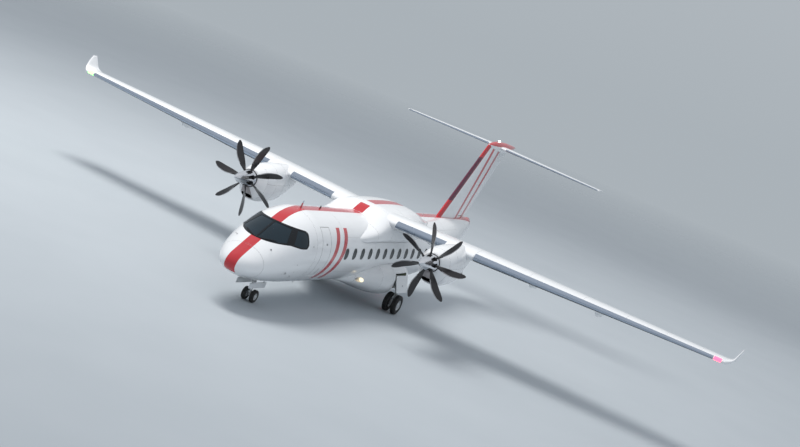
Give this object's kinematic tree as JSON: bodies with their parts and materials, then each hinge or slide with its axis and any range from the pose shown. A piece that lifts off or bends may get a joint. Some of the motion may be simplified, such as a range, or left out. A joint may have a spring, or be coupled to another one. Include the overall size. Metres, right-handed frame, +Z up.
{
  "type": "turboprop airliner",
  "caption": "High-wing regional airliner with turboprop engines under the wing, a T-tail and landing gear in belly fairings, standing on its gear.",
  "frame": {"origin": "on the ground below the middle of the aircraft's length and span", "axes": "+X towards the left wing tip, +Y towards the tail (the nose points along -Y), +Z up"},
  "size_m": [30.28, 25.88, 7.362],
  "materials": {
    "white_paint": "gloss white paint",
    "red_paint": "gloss deep red paint",
    "dark_glass": "dark cockpit glass",
    "polished_metal": "polished metal",
    "blade_black": "black composite",
    "gear_grey": "grey enamel",
    "hot_metal": "heat-tinted steel",
    "cast_metal": "cast metal",
    "tyre_rubber": "matt black rubber"
  },
  "bodies": {
    "airframe": {"fuselage": "white_paint", "glazing": "dark_glass", "wing_fairing": "white_paint", "belly_fairing": "white_paint", "antenna": "red_paint", "wing_center": "white_paint", "fin": "white_paint", "tailplane": "white_paint", "fin_bullet": "white_paint", "nose_leg": "gear_grey", "wing_left": "white_paint", "winglet_left": "white_paint", "nacelle_left": "white_paint", "engine_left": "cast_metal", "exhaust_left": "hot_metal", "main_leg_left": "gear_grey", "main_gear_door_left": "white_paint", "nose_gear_door_left": "white_paint", "wing_right": "white_paint", "winglet_right": "white_paint", "nacelle_right": "white_paint", "engine_right": "cast_metal", "exhaust_right": "hot_metal", "main_leg_right": "gear_grey", "main_gear_door_right": "white_paint", "nose_gear_door_right": "white_paint"},
    "propeller_left": {"propeller_left": "blade_black", "spinner_left": "polished_metal"},
    "main_wheels_left": {"main_hub_inner_left": "gear_grey", "main_hub_outer_left": "gear_grey", "main_tyre_inner_left": "tyre_rubber", "main_tyre_outer_left": "tyre_rubber"},
    "propeller_right": {"propeller_right": "blade_black", "spinner_right": "polished_metal"},
    "main_wheels_right": {"main_hub_inner_right": "gear_grey", "main_hub_outer_right": "gear_grey", "main_tyre_inner_right": "tyre_rubber", "main_tyre_outer_right": "tyre_rubber"},
    "nose_steering": {"nose_fork": "gear_grey"},
    "nose_wheels": {"nose_hub_left": "gear_grey", "nose_hub_right": "gear_grey", "nose_tyre_left": "tyre_rubber", "nose_tyre_right": "tyre_rubber"},
    "passenger_door": {"passenger_door": "white_paint"},
    "baggage_door": {"baggage_door": "white_paint"},
    "service_door": {"service_door": "white_paint"},
    "aileron_left": {"aileron_left": "white_paint"},
    "elevator_left": {"elevator_left": "white_paint"},
    "flap_inner_left": {"flap_inner_left": "white_paint"},
    "flap_outer_left": {"flap_outer_left": "white_paint"},
    "aileron_right": {"aileron_right": "white_paint"},
    "elevator_right": {"elevator_right": "white_paint"},
    "flap_inner_right": {"flap_inner_right": "white_paint"},
    "flap_outer_right": {"flap_outer_right": "white_paint"},
    "rudder": {"rudder": "white_paint"}
  },
  "joints": [
    {"name": "propeller_spin_left", "type": "hinge", "parent": "airframe", "child": "propeller_left", "pos_m": [4.033, -5.765, 3.167], "axis": [0, 1, 0], "continuous": true},
    {"name": "main_wheels_roll_left", "type": "hinge", "parent": "airframe", "child": "main_wheels_left", "pos_m": [1.8, -0.89, 0.4], "axis": [1, 0, 0], "continuous": true},
    {"name": "propeller_spin_right", "type": "hinge", "parent": "airframe", "child": "propeller_right", "pos_m": [-4.033, -5.765, 3.167], "axis": [0, 1, 0], "continuous": true},
    {"name": "main_wheels_roll_right", "type": "hinge", "parent": "airframe", "child": "main_wheels_right", "pos_m": [-1.8, -0.89, 0.4], "axis": [1, 0, 0], "continuous": true},
    {"name": "nose_steering_turn", "type": "hinge", "parent": "airframe", "child": "nose_steering", "pos_m": [0, -10.44, 0.9], "axis": [0, 0, 1], "range_deg": [-60, 60]},
    {"name": "nose_wheels_roll", "type": "hinge", "parent": "nose_steering", "child": "nose_wheels", "pos_m": [0, -10.39, 0.235], "axis": [1, 0, 0], "continuous": true},
    {"name": "passenger_door_hinge", "type": "hinge", "parent": "airframe", "child": "passenger_door", "pos_m": [1.10476, -8.565, 1.40089], "axis": [0, 1, 0], "range_deg": [0, 135]},
    {"name": "baggage_door_hinge", "type": "hinge", "parent": "airframe", "child": "baggage_door", "pos_m": [-1.06808, -8.115, 3.05002], "axis": [0, 1, 0], "range_deg": [0, 100]},
    {"name": "service_door_hinge", "type": "hinge", "parent": "airframe", "child": "service_door", "pos_m": [-1.02193, 1.585, 3.09619], "axis": [0, 1, 0], "range_deg": [0, 100]},
    {"name": "aileron_hinge_left", "type": "hinge", "parent": "airframe", "child": "aileron_left", "pos_m": [10.96, -0.42753, 3.805], "axis": [0.9997, 0.0146, 0.0172], "range_deg": [-22, 22]},
    {"name": "elevator_hinge_left", "type": "hinge", "parent": "airframe", "child": "elevator_left", "pos_m": [0.33, 11.18493, 7.12543], "axis": [0.9981, 0.0603, -0.0138], "range_deg": [-20, 25]},
    {"name": "flap_inner_hinge_left", "type": "hinge", "parent": "airframe", "child": "flap_inner_left", "pos_m": [2.45, -0.56449, 3.27796], "axis": [-1, 0, 0], "range_deg": [0, 35]},
    {"name": "flap_outer_hinge_left", "type": "hinge", "parent": "airframe", "child": "flap_outer_left", "pos_m": [6.83, -0.27728, 3.3635], "axis": [-0.9998, -0.0027, -0.0195], "range_deg": [0, 35]},
    {"name": "aileron_hinge_right", "type": "hinge", "parent": "airframe", "child": "aileron_right", "pos_m": [-10.96, -0.42753, 3.805], "axis": [0.9997, -0.0146, -0.0172], "range_deg": [-22, 22]},
    {"name": "elevator_hinge_right", "type": "hinge", "parent": "airframe", "child": "elevator_right", "pos_m": [-0.33, 11.18493, 7.12543], "axis": [0.9981, -0.0603, 0.0138], "range_deg": [-20, 25]},
    {"name": "flap_inner_hinge_right", "type": "hinge", "parent": "airframe", "child": "flap_inner_right", "pos_m": [-2.45, -0.56449, 3.27796], "axis": [-1, 0, 0], "range_deg": [0, 35]},
    {"name": "flap_outer_hinge_right", "type": "hinge", "parent": "airframe", "child": "flap_outer_right", "pos_m": [-6.83, -0.27728, 3.3635], "axis": [-0.9998, 0.0027, 0.0195], "range_deg": [0, 35]},
    {"name": "rudder_hinge", "type": "hinge", "parent": "airframe", "child": "rudder", "pos_m": [0, 8.23538, 3.67], "axis": [0, 0.6057, 0.7957], "range_deg": [-25, 25]}
  ],
  "couplings": [
    {"joint": "aileron_hinge_right", "follows": "aileron_hinge_left", "ratio": -1},
    {"joint": "elevator_hinge_right", "follows": "elevator_hinge_left", "ratio": 1},
    {"joint": "flap_outer_hinge_left", "follows": "flap_inner_hinge_left", "ratio": 1},
    {"joint": "flap_inner_hinge_right", "follows": "flap_inner_hinge_left", "ratio": 1},
    {"joint": "flap_outer_hinge_right", "follows": "flap_inner_hinge_left", "ratio": 1}
  ]
}
